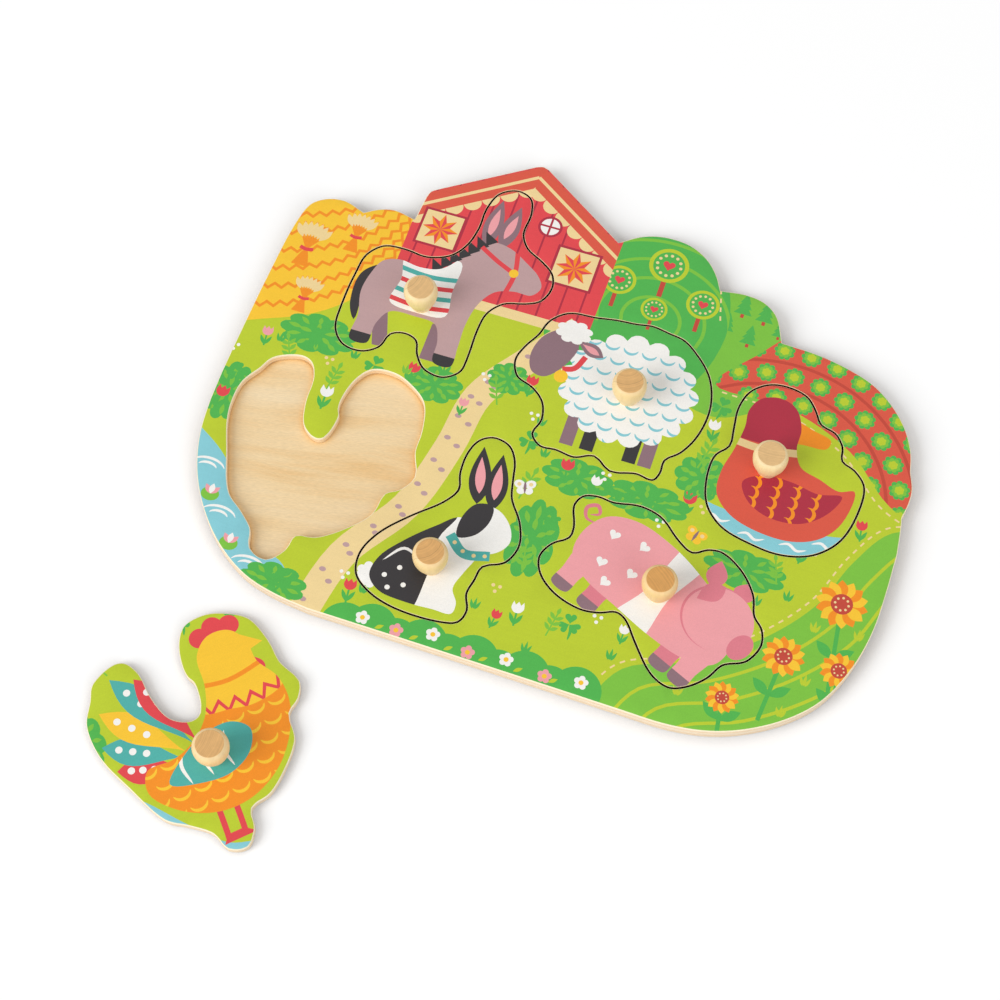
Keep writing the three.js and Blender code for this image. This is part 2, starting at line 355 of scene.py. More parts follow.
def clover(add, x, y, size, turn):
    """Three hearts on a stalk."""
    put = adder(add, x, y, turn, size)
    put("bush", brush([(0, -0.9), (0.08, -0.4), (0, 0)], 0.16))
    for lobe in (0, 120, 240):
        put("bush", heart(*polar(0, 0, lobe + 90, 0.34), 0.62, lobe))


def sprig(add, x, y, tall, turn):
    """A stalk with pairs of leaves."""
    put = adder(add, x, y, turn, tall)
    put("leaf", ribbon([(0, 0), (0, 0.5), (0, 0.9)], 0.05))
    for up in (0.22, 0.42, 0.62):
        for side in (-1, 1):
            put("leaf", leaf((0, up), (side * 0.24, up + 0.2), 0.13))
    put("leaf", leaf((0, 0.8), (0, 1.08), 0.13))


def round_tree(add, x, y, crown, trunk):
    """A round tree with a trunk of that height below its crown."""
    add("clay", ribbon([(x, y - crown - trunk), (x, y - crown / 2), (x, y)], crown * 0.26))
    add("lime", disc(x, y, crown))
    add("bush", disc(x, y, crown * 0.8))
    for spot in ring(x, y, 12, crown * 0.6):
        add("cream", disc(*spot, crown * 0.085))
    add("red", heart(x, y, crown * 0.62))


def star_square(add, x, y, size):
    """A pieced square with an eight-pointed star."""
    put = adder(add, x, y, 0, size)
    put("burgundy", box(-0.5, -0.5, 0.5, 0.5))
    put("cream", box(-0.44, -0.44, 0.44, 0.44))
    for tip in range(0, 360, 45):
        for side, ink in ((-1, "red"), (1, "orange")):
            put(ink, [(0, 0), polar(0, 0, tip, 0.42), polar(0, 0, tip + side * 22.5, 0.22)])


def sunflower(add, x, y, radius, tall, lean):
    """A sunflower with its middle at x, y, on a stem that leans."""
    add("bush", ribbon([(x + lean, y - tall), (x + lean / 2, y - tall / 2), (x, y)], 1.8))
    base = (x + lean / 2, y - tall * 0.62)
    for side in (-1, 1):
        add("bush", leaf(base, (base[0] + side * 8, base[1] + 6), 4.4))
    for i, tip in enumerate(ring(x, y, 14, radius)):
        add("yellow" if i % 2 else "orange", leaf((x, y), tip, radius * 0.46, 0.62))
    add("clay", disc(x, y, radius * 0.42))
    for seed in ring(x, y, 8, radius * 0.26):
        add("cream", disc(*seed, radius * 0.05))


def rosette(add, x, y, radius, inside):
    """A head of lettuce from above."""
    for share, ink, bumps in ((1, "bush", 9), (0.74, "leaf", 8), (0.45, "lime", 6)):
        add(ink, scalloped(x, y, radius * share, radius * share, bumps, 0.2), inside)


def stitches(add, points, inside=None):
    """A row of short stitches along a smooth line."""
    marks = paced(points, 2.3)
    for stitch in zip(marks[::2], marks[1::2]):
        add("cream", beside(stitch, [0.75, 0.75]), inside)


def scales(add, ink, corner, rows, count, across, up, radius, width, inside):
    """Rows of small arcs that are set like scales, from their lower left corner."""
    for row in range(rows):
        for place in range(count):
            x, y = corner[0] + (place + row % 2 / 2) * across, corner[1] + row * up
            add(ink, brush(arc(x, y, range(200, 341, 28), radius), width), inside)


def fir(add, x, y, tall):
    """A fir of three tiers that stands at x, y."""
    put = adder(add, x, y, 0, tall)
    put("clay", box(-0.06, 0, 0.06, 0.25))
    for low, high, half in ((0.15, 0.6, 0.32), (0.38, 0.8, 0.26), (0.6, 1, 0.19)):
        put("bush", [(-half, low), (half, low), (0, high)])


def sheaf(add, x, y, tall):
    """A bound sheaf of wheat that stands at x, y."""
    put = adder(add, x, y, 0, tall)
    waist = (0, 0.38)
    for lean in (-34, -22, -11, 0, 11, 22, 34):
        tip = polar(*waist, 90 + lean, 0.62)
        put("orange", ribbon([(-0.42 * tip[0], 0), waist, tip], 0.045))
        put("cream", leaf(between(waist, tip, 0.45), tip, 0.13))
    put("red", ribbon([(-0.13, 0.4), (0, 0.37), (0.13, 0.4)], 0.075))


def butterfly(add, x, y, size, ink, turn):
    put = adder(add, x, y, turn, size)
    for side in (-1, 1):
        for out, up, wide, high in ((0.34, 0.2, 0.34, 0.28), (0.26, -0.26, 0.25, 0.22)):
            put(ink, disc(side * out, up, wide, high, side * 24))
        put("cream", disc(side * 0.36, 0.2, 0.13))
    put("plum", leaf((0, -0.46), (0, 0.44), 0.18))


def dots(add, x, y, ink="white"):
    """Three small dots."""
    for spot in ring(x, y, 3, 1.7, start=30):
        add(ink, disc(*spot, 0.8))


def shrub(add, x, y, wide, high):
    """A leafy shrub."""
    whole = add("bush", scalloped(x, y, wide, high, 9, 0.16))
    for share, count in ((0.36, 5), (0.66, 10)):
        for i in range(count):
            base, tip = [polar(x, y, 360 * (i + share) / count, wide * out, high * out)
                         for out in (share - 0.2, share + 0.18)]
            add("leaf", leaf(base, tip, min(wide, high) * 0.2), whole)


def tuft(add, x, y, ink="bush"):
    """Three blades of grass."""
    for lean, tall in ((-2.2, 4.2), (0, 5.4), (2.2, 4.2)):
        add(ink, leaf((x + lean * 0.25, y), (x + lean, y + tall), 1.3, 0.4))


def blossom(add, x, y, ink, radius=3.1):
    """A flower of five round petals."""
    for spot in ring(x, y, 5, radius * 0.58, start=90):
        add(ink, disc(*spot, radius * 0.42))
    add("yellow", disc(x, y, radius * 0.34))


def scatter(add, motif, *spots):
    """A motif at each of some places. Its size, turn or ink follow the place."""
    for spot in spots:
        motif(add, *spot)


# The meadow on the board, from back to front
def wheat(add):
    hill = add("yellow", smooth([
        (-165, 100), (-86, 100), (-92, 66), (-101, 38), (-118, 18), (-140, 6), (-165, 0)]))
    foot = [(-165, 8), (-140, 14), (-118, 27), (-103, 46), (-94, 70)]
    for lift in range(0, 80, 10):
        add("orange", zigzag([(x, y + lift) for x, y in foot], 6, 2.4, 1.7), hill)
    scatter(add, sheaf, (-138, 36, 24), (-119, 50, 21), (-130, 13, 19))


def hills(add):
    far = add("leaf", smooth([(36, 30), (40, 72), (50, 88), (64, 90), (78, 76), (86, 40), (60, 20)]))
    scatter(add, fir, (58, 72, 13), (68, 71, 13), (76, 66, 10), (53, 62, 11), (64, 58, 12))
    stitches(add, [(44, 78), (51, 86), (63, 87), (75, 77), (81, 62)], far)
    near = add("bush", smooth([(-20, 30), (-12, 92), (6, 106), (26, 108), (44, 94), (54, 60), (40, 26)]))
    for radius in (12, 22, 32, 42):
        add("leaf", ribbon(arc(20, 58, range(-20, 201, 20), radius * 1.1, radius), 1.6), near)
    scatter(add, round_tree, (20, 88, 9, 8), (1, 74, 7.5, 7), (40, 73, 7.5, 7), (20, 64, 6, 5))
    stitches(add, [(-10, 86), (6, 102.5), (26, 104.5), (42, 91), (50, 66)], near)


def vegetable_rows(add):
    patch = add("brick", smooth([
        (56, 36), (70, 56), (84, 72), (102, 78), (140, 64), (165, 30), (165, -6), (142, 2), (120, 22),
        (90, 34)]))
    around = range(125, -11, -15)
    for radius in (78, 66, 54, 42):
        add("clay", ribbon(arc(88, -10, around, radius), 1.5), patch)
    for radius in (72, 60, 48):
        for spot in paced(arc(88, -10, around, radius), 12.2):
            rosette(add, *spot, 4.7, patch)
    stitches(add, [(60, 33), (90, 31), (117, 20), (139, 0), (160, -8)])


def gable(add):
    """The front of a house that fills the peak of the board."""
    ridge, middle, fall = 121.5, -50, math.tan(math.radians(33.6))
    deep = 12.6

    def under_roof(out, drop):
        return (middle + out, ridge - abs(out) * fall - drop)

    wall = add("red", [(-97, 40), (-4, 40), (-3, 100), (-50, 130), (-98, 100)])
    for x in range(-92, 0, 9):
        add("burgundy", box(x - 0.45, 40, x + 0.45, 130), wall)
    add("cream", box(-98, 39, -3.5, 44))
    for side in (-1, 1):
        for step in range(8):
            add("cream", disc(*under_roof(side * (3.2 + step * 7.2), deep), 4.2), wall)
        eave = side * 52
        boards = [under_roof(0, 0), under_roof(eave, 0), under_roof(eave, deep), under_roof(0, deep)]
        add("brick", boards[::side], wall)
        add("cream", ribbon([under_roof(out, deep / 2) for out in (0, eave / 2, eave)], 1.6), wall)
    scatter(add, star_square, (-84, 74, 20), (-20, 73, 21))
    put = adder(add, -37, 91)
    put("burgundy", disc(0, 0, 5.6))
    put("white", disc(0, 0, 4.4))
    put("burgundy", box(-0.5, -4.5, 0.5, 4.5))
    put("burgundy", box(-4.5, -0.5, 4.5, 0.5))


def pond(add):
    water = add("sky", smooth([
        (-165, -48), (-146, -56), (-132, -66), (-118, -84), (-106, -98), (-92, -104), (-84, -116),
        (-90, -135), (-165, -135)]))
    for x, y in ((-139, -72), (-126, -92), (-106, -110)):
        for radius in (4.4, 8):
            add("white", brush(arc(x, y, range(20, 161, 20), radius, radius * 0.6), 1.2), water)
    for spot in ((-133, -83), (-117, -102)):
        put = adder(add, *spot)
        put("leaf", disc(0, 0, 4, 3.2))
        for ink, tip, width in (("pink", (3.2, 4), 2.4), ("pink", (-3.2, 4), 2.4), ("white", (0, 5), 2.6)):
            put(ink, leaf((0, 0), tip, width))


def path(add):
    route = [(-8, 44), (-26, 20), (-40, -2), (-44, -30), (-52, -62), (-70, -92), (-78, -130)]
    track = add("cream", ribbon(route, 13))
    for i, (x, y) in enumerate(smooth(route, closed=False, steps=5)[2:]):
        side = 3 if i % 2 else -3
        add("mauve", disc(x + side, y + side / 2, 1.5, 1.1), track)


def pasture(add):
    """The sunflower slope in the lower right corner."""
    edge = [(165, -4), (146, -10), (134, -28), (124, -52), (106, -74), (82, -92), (56, -104), (44, -128)]
    slope = add("leaf", [*smooth(edge, closed=False), (165, -140)])
    for shift in range(1, 7):
        add("lime", ribbon([(x + shift * 9, y - shift * 6) for x, y in edge], 1.4), slope)
    stitches(add, [(x - 2.5, y + 1.5) for x, y in edge])
    scatter(add, sunflower, (134, -48, 11, 40, 4), (117, -78, 9, 30, -3), (140, -77, 8, 26, 2),
            (98, -103, 7, 16, 2))


def hedge(add):
    """A clipped hedge in bloom along the bottom edge."""
    for x in range(-58, 50, 11):
        add("bush", disc(x, -122 + (3 if x % 2 else 0), 10.5))
    scatter(add, blossom, (-52, -116, "white"), (-37, -117, "pink"), (-22, -114, "white"),
            (-6, -117, "pink"), (10, -115, "white"), (27, -117, "pink"), (42, -115, "white"))
    for x in range(-44, 42, 15):
        add("lime", leaf((x - 1.8, -119), (x + 1.6, -116.6), 1.7))


def shrubs(add):
    scatter(add, shrub, (-117, 5, 18, 10), (-144, -34, 10, 15), (63, -10, 12, 11), (3, -60, 11, 19),
            (13, -27, 16, 9), (44, -28, 19, 9), (92, -46, 18, 9), (-60, -3, 13, 9), (-93, -113, 15, 9),
            (-30, 10, 10, 8))


def flowers(add):
    """Small plants and butterflies all over."""
    scatter(add, tulip, (8, -31, 12, "red", 6), (20, -33, 10, "white", -8), (60, -30, 12, "red", -6),
            (-58, 2, 11, "white", 8), (-72, -6, 11, "red", -6), (62, 8, 11, "white", 4),
            (-20, 4, 11, "red", 0), (-61, -112, 11, "red", 6), (-103, -30, 12, "white", 2),
            (-147, -44, 12, "red", -4),
            (8, -100, 11, "white", 4), (-45, -14, 9, "pink", 0), (134, -18, 10, "red", 6),
            (-1, -104, 9, "red", -8), (-138, -8, 10, "pink", 6), (52, -94, 9, "white", 0),
            (112, -36, 10, "white", -8))
    scatter(add, clover, (34, -27, 9, 10), (48, -28, 7, -16), (-12, -16, 8, 0), (66, -14, 7, 12),
            (-88, -2, 8, -10), (-144, -24, 8, 14), (62, 26, 8, -8), (0, -60, 9, -6), (8, -48, 7, 14),
            (-90, -110, 8, -8), (30, -92, 8, 8), (-118, 4, 7, 20))
    scatter(add, sprig, (60, -6, 16, -14), (-31, -4, 14, 20), (-124, -12, 14, 24), (4, -76, 15, 10),
            (-8, -44, 16, -12), (106, -48, 13, 16), (-104, -20, 14, -8), (22, -100, 13, -10))
    scatter(add, butterfly, (68, -37, 7, "yellow", -18), (-7, -38, 7, "white", 14))
    scatter(add, tuft, (-98, -2), (-132, -4), (-74, -2, "leaf"), (-10, -8), (-4, -22), (60, -22), (112, -54),
            (100, -60), (104, -82, "lime"), (126, -64, "lime"), (122, -104, "lime"), (144, -62, "lime"),
            (80, -108, "lime"), (128, -88, "lime"), (50, -102), (-10, -98), (16, -110), (-56, -106))
    scatter(add, dots, (24, -22), (-4, -86, "cream"), (40, -86), (68, -24, "cream"), (-40, 8),
            (-108, -6, "cream"), (-14, -4), (-66, -100), (118, -28, "cream"), (52, -36), (-150, -12))


def meadow():
    art = Print()
    for draw in (wheat, hills, vegetable_rows, gable, pasture, path, pond, shrubs, hedge, flowers):
        draw(art.add)
    return art


# The six animals
def donkey(add):
    add("plum", [(-71, 26), (-66, 26), (-64, 7.5), (-71, 7.5)])
    add("plum", [(-99, 26), (-92, 26), (-86, 8), (-93, 7.5)])
    add("charcoal", brush([(-103, 48), (-108, 40), (-107.5, 26), (-105, 17)], 5))
    for base, tip in (((-62, 71), (-61.5, 98)), ((-55, 72), (-52.5, 97))):
        add("plum", leaf(base, tip, 8.5, 0.45))
        add("pink", leaf((base[0], base[1] + 6), (tip[0], tip[1] - 5), 3.8, 0.45))
    body = add("mauve", smooth([
        (-106, 42), (-103, 50), (-96, 53), (-86, 52), (-77, 54), (-70, 62), (-64, 71), (-58, 75), (-50, 74),
        (-41, 69), (-34, 64), (-31, 58.5), (-34, 53.5), (-42, 53), (-50, 50), (-55, 42), (-57, 30),
        (-56.5, 18), (-56.5, 7.5), (-64.5, 7.5), (-66, 18), (-70, 26), (-80, 27), (-91, 26), (-95, 18),
        (-95.5, 7.5), (-103.5, 7.5), (-104, 20), (-107, 32)]))
    add("charcoal", box(-105, 5, -94, 12), body)
    add("charcoal", box(-67, 5, -55, 12), body)
    for i in range(7):
        x, y = -79 + i * 3.1, 53.5 + i * 3.5
        add("charcoal", [(x - 1, y - 2.5), (x + 3.6, y + 1.2), (x - 3.4, y + 5)])
    blanket = add("white", smooth([
        (-94, 56), (-92, 44), (-93, 31), (-80, 29), (-67, 31), (-68, 44), (-69, 60), (-80, 58)]), body)
    for i, ink in enumerate(("teal", "red", "teal", "red")):
        add(ink, ribbon([(-98, 50 - i * 5.4), (-80, 48.5 - i * 5.4), (-64, 51 - i * 5.4)], 2.3), blanket)
    add("red", ribbon([(-47, 75), (-44.5, 62), (-46, 48)], 2.2), body)
    add("red", ribbon([(-45, 62), (-54, 66), (-63, 71)], 2.2), body)
    add("yellow", disc(-45, 62, 2.2), body)


def sheep(add):
    for x, ink in ((9, "charcoal"), (28, "charcoal"), (0, "plum"), (35, "plum")):
        add(ink, box(x, -13, x + 6, 6))
    add("plum", leaf((-12, 37), (-2, 26), 6, 0.6))
    wool = add("white", scalloped(21, 21, 31, 28, 17, 0.12))
    scales(add, "sky", (-13, -4), 8, 9, 8.4, 6.6, 3.6, 1.3, wool)
    add("plum", smooth([(-13, 42), (-22, 36), (-25, 25), (-22, 17), (-16, 16), (-9, 24), (-6, 36)]))
    add("plum", leaf((-8, 38), (6, 33), 6.5, 0.6))
    add("pink", leaf((-5, 37), (4, 33.6), 3, 0.6))
    add("white", scalloped(-10, 41.5, 8.5, 6, 8, 0.2))
    add("red", ribbon([(-9.5, 22), (-4.5, 24), (-1.5, 31)], 2.6))
    add("yellow", disc(-9, 18.4, 3.1))


def duck(add):
    water = add("sky", smooth([
        (55, -20), (75, -21), (100, -23), (120, -20), (140, -18), (140, -45), (55, -45)]))
    add("orange", smooth([(93, 29), (103, 27), (111, 24.5), (110, 20), (101, 19), (93, 19)]))
    body = add("brick", smooth([
        (74, 20), (72.5, 8), (70, -4), (71, -15), (79, -23), (92, -27), (107, -27), (118, -22), (125, -12),
        (126.5, 4), (120, 2), (111, 5), (102, 8), (98, 16), (97.5, 26), (93, 35), (85, 38), (77, 35),
        (73.5, 28)]))
    add("burgundy", box(60, 14, 100, 45), body)
    add("cream", ribbon([(65, 13), (84, 11.5), (104, 15)], 3.6), body)
    wing = add("burgundy", smooth([
        (80, -6), (88, -0.5), (100, 0), (112, -2), (122, 0), (118, -10), (108, -18), (94, -19), (84, -14)]))
    for row in range(4):
        for place in range(6):
            x, y = 85 + row * 8.5, 2.5 * (row % 2) - place * 5
            add("orange", disc(x, y, 3.2), wing)
            add("burgundy", disc(x - 1.4, y, 3), wing)
    for x, y in ((74, -26), (90, -30), (108, -29.5), (121, -25)):
        add("white", brush([(x - 6, y - 0.5), (x - 2, y + 1), (x + 2, y - 1), (x + 6, y + 0.5)], 1.3), water)


def rabbit(add):
    for base, tip in (((-24, -52), (-29.5, -25)), ((-17, -53), (-20.5, -26))):
        add("charcoal", leaf(base, tip, 9.5, 0.42))
        add("pink", leaf((base[0] - 0.6, base[1] + 5), (tip[0] + 0.6, tip[1] - 5), 4.4, 0.42))
    add("white", scalloped(-56, -97, 6, 6, 8, 0.18))
    body = add("white", smooth([
        (-28, -60), (-37, -67), (-47, -77), (-55, -88), (-56, -97), (-50, -102.5), (-38, -104),
        (-26, -103.5), (-18, -103), (-17.5, -98), (-21, -92), (-19, -84), (-16, -76), (-14, -68)]))
    back = add("charcoal", smooth([
        (-30, -58), (-34, -72), (-33, -90), (-37, -112), (-72, -112), (-72, -60)]), body)
    add("white", brush([(-53, -89), (-46, -81), (-38, -84)], 1.3), back)
    for spot in ((-50, -95), (-45, -90), (-41, -97), (-47, -100)):
        add("white", disc(*spot, 1.1), back)
    add("white", smooth([
        (-28, -60), (-23, -52), (-14, -52), (-7, -58), (-5, -65), (-9, -71), (-18, -74), (-27, -70)]))
    add("charcoal", smooth([(-28, -60), (-24, -52), (-17, -51), (-16, -58), (-20, -66), (-27, -69)]))
    collar = add("teal", ribbon([(-30, -69), (-22, -75.5), (-11, -73.5)], 4.4))
    for spot in ((-27, -71.8), (-22.5, -74.6), (-17.5, -75.2), (-13, -74)):
        add("cream", disc(*spot, 0.9), collar)


def pig(add):
    """A pig that walks down a slope: it is drawn level, then turned."""
    put = adder(add, 58, -66, -24)
    put("rose", brush([(-36, 7), (-42, 6), (-45, 10), (-42, 13.5), (-39, 11), (-42, 8)], 1.8))
    for x, ink in ((-20, "rose"), (19, "rose"), (-34, "pink"), (29, "pink")):
        leg = put(ink, smooth([
            (x - 1, -6), (x - 0.5, -18), (x, -25.5), (x + 8, -25.5), (x + 8.5, -18), (x + 9, -6)]))
        put("plum", box(x - 3, -30, x + 11, -21.5), leg)
    body = put("pink", smooth([
        (-39, 0), (-36, 12), (-25, 19), (-8, 20.5), (10, 18), (28, 12), (40, 2), (40, -9), (30, -15),
        (14, -17), (-6, -16.5), (-24, -15.5), (-35, -11)]))
    put("white", smooth([(-1, 26), (9, 24), (8, 0), (10, -24), (-5, -24), (-2, -2)]), body)
    for base, tip in (((18, 17), (13, 29)), ((30, 19), (28.5, 29))):
        put("rose", leaf(base, tip, 9, 0.45))
    put("rose", disc(28, 7.5, 15.5, 14.5))
    put("pink", disc(28.8, 7.5, 15.2, 14.2))
    put("rose", leaf((22, 21), (16, 9), 8.5, 0.45))
    put("rose", disc(43.2, 4, 4.6, 6.4, -6))
    for x, y, turn in ((-28, 8, 10), (-15, 12, -12), (-24, -5, 16), (-11, -1, 0), (-17, -11, -10)):
        put("white", heart(x, y, 5, turn), body)


def rooster(add):
    for base, tip, ink in (((-110, -62), (-135, -52), "red"), ((-109, -58), (-137, -40), "teal"),
                           ((-107, -56), (-133, -26), "yellow"), ((-103, -54), (-124, -14), "teal"),
                           ((-101, -54), (-115, -18), "red")):
        feather = add(ink, leaf(base, tip, 12, 0.62))
        for share in (0.45, 0.62, 0.79):
            add("white", disc(*between(base, tip, share), 1.5), feather)
    for x in (-104, -97):
        add("red", ribbon([(x, -80), (x - 0.5, -90), (x - 1, -97)], 2.4))
    add("red", [(-107.5, -98.5), (-105, -95), (-98, -95), (-93.5, -98.5)])
    for spot in ((-84, -13), (-77.5, -10.5), (-71, -12.5)):
        add("red", disc(*spot, 4.4))
    add("red", leaf((-70, -27), (-65.5, -39), 6.5, 0.62))
    add("yellow", [(-69, -18), (-61, -25), (-70, -27)])
    body = add("orange", smooth([
        (-88, -20), (-81, -13.5), (-72, -14.5), (-67, -22), (-66.5, -32), (-61.5, -42), (-61, -53),
        (-66, -66), (-76, -78), (-90, -85), (-104, -85), (-118, -78), (-127, -66), (-124, -57),
        (-113, -57), (-104, -54), (-95, -46), (-90, -34)]))
    scales(add, "yellow", (-124, -84), 6, 8, 9, 7, 4, 1.4, body)
    hackle = add("yellow", smooth([
        (-92, -10), (-90, -34), (-95, -44), (-84, -47), (-74, -49), (-60, -45), (-62, -20),
        (-70, -5)]), body)
    add("red", zigzag([(-98, -42), (-84, -45), (-70, -46), (-56, -42)], 7, 5, 2.4), hackle)
    add("orange", ribbon([(-95, -32), (-80, -35), (-60, -32)], 2), hackle)
    wing = add("teal", smooth([
        (-80, -58), (-86, -52), (-97, -52), (-108, -57), (-118, -66), (-106, -71), (-94, -72), (-84, -67)]))
    for x in (-90, -99, -108):
        add("white", brush([(x, -54), (x - 3, -61), (x - 1.5, -70)], 1.5), wing)


ANIMALS = {"donkey": donkey, "sheep": sheep, "duck": duck, "rabbit": rabbit, "pig": pig, "rooster": rooster}


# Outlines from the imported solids
def pairs(loop):
    """Each point of a closed loop with the next one."""
    return list(zip(loop, loop[1:] + loop[:1]))


def area(loop):
    return sum(a[0] * b[1] - b[0] * a[1] for a, b in pairs(loop)) / 2


def centroid(loop):
    whole = area(loop)
    x = sum((a[0] + b[0]) * (a[0] * b[1] - b[0] * a[1]) for a, b in pairs(loop)) / (6 * whole)
    y = sum((a[1] + b[1]) * (a[0] * b[1] - b[0] * a[1]) for a, b in pairs(loop)) / (6 * whole)
    return x, y


def heights(node):
    """The heights at which a solid has points, in millimetres, from below."""
    return sorted({round(v.co.z / MM, 2) for v in frame["nodes"][node].data.vertices})


def thickness(node):
    levels = heights(node)
    return levels[-1] - levels[0]


def outlines(node, height):
    """The closed edge lines of a solid at a height, anticlockwise, the largest first."""
    mesh = frame["nodes"][node].data
    places = [(round(v.co.x / MM, 4), round(v.co.y / MM, 4)) for v in mesh.vertices]
    level = {v.index for v in mesh.vertices if abs(v.co.z / MM - height) < SAME_LEVEL}
    beside_it = {}
    for edge in mesh.edges:
        a, b = edge.vertices
        if a in level and b in level and places[a] != places[b]:
            beside_it.setdefault(places[a], set()).add(places[b])
            beside_it.setdefault(places[b], set()).add(places[a])
    loops = []
    while beside_it:
        loop = [min(beside_it)]
        while True:
            ways = beside_it.pop(loop[-1])
            onward = [p for p in sorted(ways) if p in beside_it]
            if not onward:
                break
            loop.append(onward[0])
        loops.append(loop if area(loop) > 0 else loop[::-1])
    return sorted(loops, key=area, reverse=True)


def bend(a, b, c):
    """How far a line turns at b."""
    turn = math.atan2(c[1] - b[1], c[0] - b[0]) - math.atan2(b[1] - a[1], b[0] - a[0])
    return abs((turn + math.pi) % (2 * math.pi) - math.pi)


def refined(loop):
    """A loop with a smooth curve through its points, apart from its corners and straight stretches."""
    count = len(loop)

    def at(i):
        return loop[i % count]

    def stops(i):
        before, here, after = at(i - 1), at(i), at(i + 1)
        long_step = max(math.dist(before, here), math.dist(here, after)) > STRAIGHT
        return long_step or bend(before, here, after) > CORNER

    fine = []
    for i in range(count):
        here, onward = at(i), at(i + 1)
        before = between(onward, here, 2) if stops(i) else at(i - 1)
        after = between(here, onward, 2) if stops(i + 1) else at(i + 2)
        fine += span(before, here, onward, after, OUTLINE_STEPS)
    return fine


# Printed faces
def linear(code):
    """A colour code's values as Blender wants them."""
    parts = [int(code[i:i + 2], 16) / 255 for i in (1, 3, 5)]
    return (*[c / 12.92 if c <= 0.04045 else ((c + 0.055) / 1.055) ** 2.4 for c in parts], 1.0)


def corners(loop):
    xs, ys = zip(*loop)
    return min(xs), min(ys), max(xs), max(ys)


def meets(a, b):
    return a[0] < b[2] and b[0] < a[2] and a[1] < b[3] and b[1] < a[3]


def filled(loops):
    """Triangles over closed loops: points, triangles, the loops that hold each triangle, and for each point
    the loop's points that are there, as (loop, place on it)."""
    points, faces, owners = [], [], []
    for number, loop in enumerate(loops):
        run = list(range(len(points), len(points) + len(loop)))
        faces.append(run if area(loop) > 0 else run[::-1])
        points += [Vector(p) for p in loop]
        owners += [(number, place) for place in range(len(loop))]
    coords, _, triangles, sources, _, holders = delaunay_2d_cdt(points, [], faces, 0, SAME_POINT)
    marks = [[owners[i] for i in found] for found in sources]
    return coords, triangles, [set(h) for h in holders], marks


def cut_print(edges, art):
    """A face cut into triangles of one ink each: points, triangles, inks, and which points are on which
    edge. The first edge is the outline, and the others are holes."""
    room = corners(edges[0])
    shown, loops = {}, list(edges)
    for number, (_, loop, inside) in enumerate(art.shapes):
        if meets(corners(loop), room) and (inside is None or inside in shown):
            shown[number] = len(loops)
            loops.append(loop)
    number_of = {place: number for number, place in shown.items()}
    coords, triangles, holders, marks = filled(loops)

    def ink(held):
        for place in sorted(held, reverse=True):
            if place < len(edges):
                break
            colour, _, mask = art.shapes[number_of[place]]
            while mask is not None and shown[mask] in held:
                mask = art.shapes[mask][2]
            if mask is None:
                return colour
        return GROUND_INK

    holes = set(range(1, len(edges)))
    kept = [i for i, held in enumerate(holders) if 0 in held and not held & holes]
    used = sorted({point for i in kept for point in triangles[i]})
    new_number = {old: new for new, old in enumerate(used)}
    anchors = {new_number[i]: mark for i in used for mark in marks[i] if mark[0] < len(edges)}
    faces = [[new_number[point] for point in triangles[i]] for i in kept]
    return [coords[i] for i in used], faces, [ink(holders[i]) for i in kept], anchors


def rims(triangles):
    """The closed edge lines of a set of triangles, with the material on their left."""
    ways = {way for triangle in triangles for way in pairs(triangle)}
    onward = {a: b for a, b in ways if (b, a) not in ways}
    loops = []
    while onward:
        loop = [min(onward)]
        while onward.get(loop[-1]) is not None:
            loop.append(onward.pop(loop[-1]))
        loops.append(loop[:-1])
    return loops


def rounding(thick, upper, lower):
    """How far out and how high each ring of an edge lies, from the upper face down."""
    turns = [math.pi / 2 * step / EDGE_STEPS for step in range(EDGE_STEPS + 1)]
    rings = []
    if upper:
        rings += [(upper * math.sin(t), thick - upper * (1 - math.cos(t))) for t in turns[1:]]
    for t in turns if lower else turns[-1:]:
        rings.append((upper - lower * (1 - math.cos(t)), lower * (1 - math.sin(t))))
    return rings


def edge_places(loop, coords, anchors):
    """Where each point of a rim lies on its edge line: (edge, place before, place after, share between)."""
    start = next(i for i, point in enumerate(loop) if point in anchors)
    loop[:] = loop[start:] + loop[:start]
    stops = [i for i, point in enumerate(loop) if point in anchors] + [len(loop)]
    places = []
    for first, last in zip(stops, stops[1:]):
        a, b = loop[first], loop[last % len(loop)]
        whole = (coords[b] - coords[a]).length
        for i in range(first, last):
            share = (coords[loop[i]] - coords[a]).length / whole
            places.append((anchors[a][0], anchors[a][1], anchors[b][1], share))
    return places


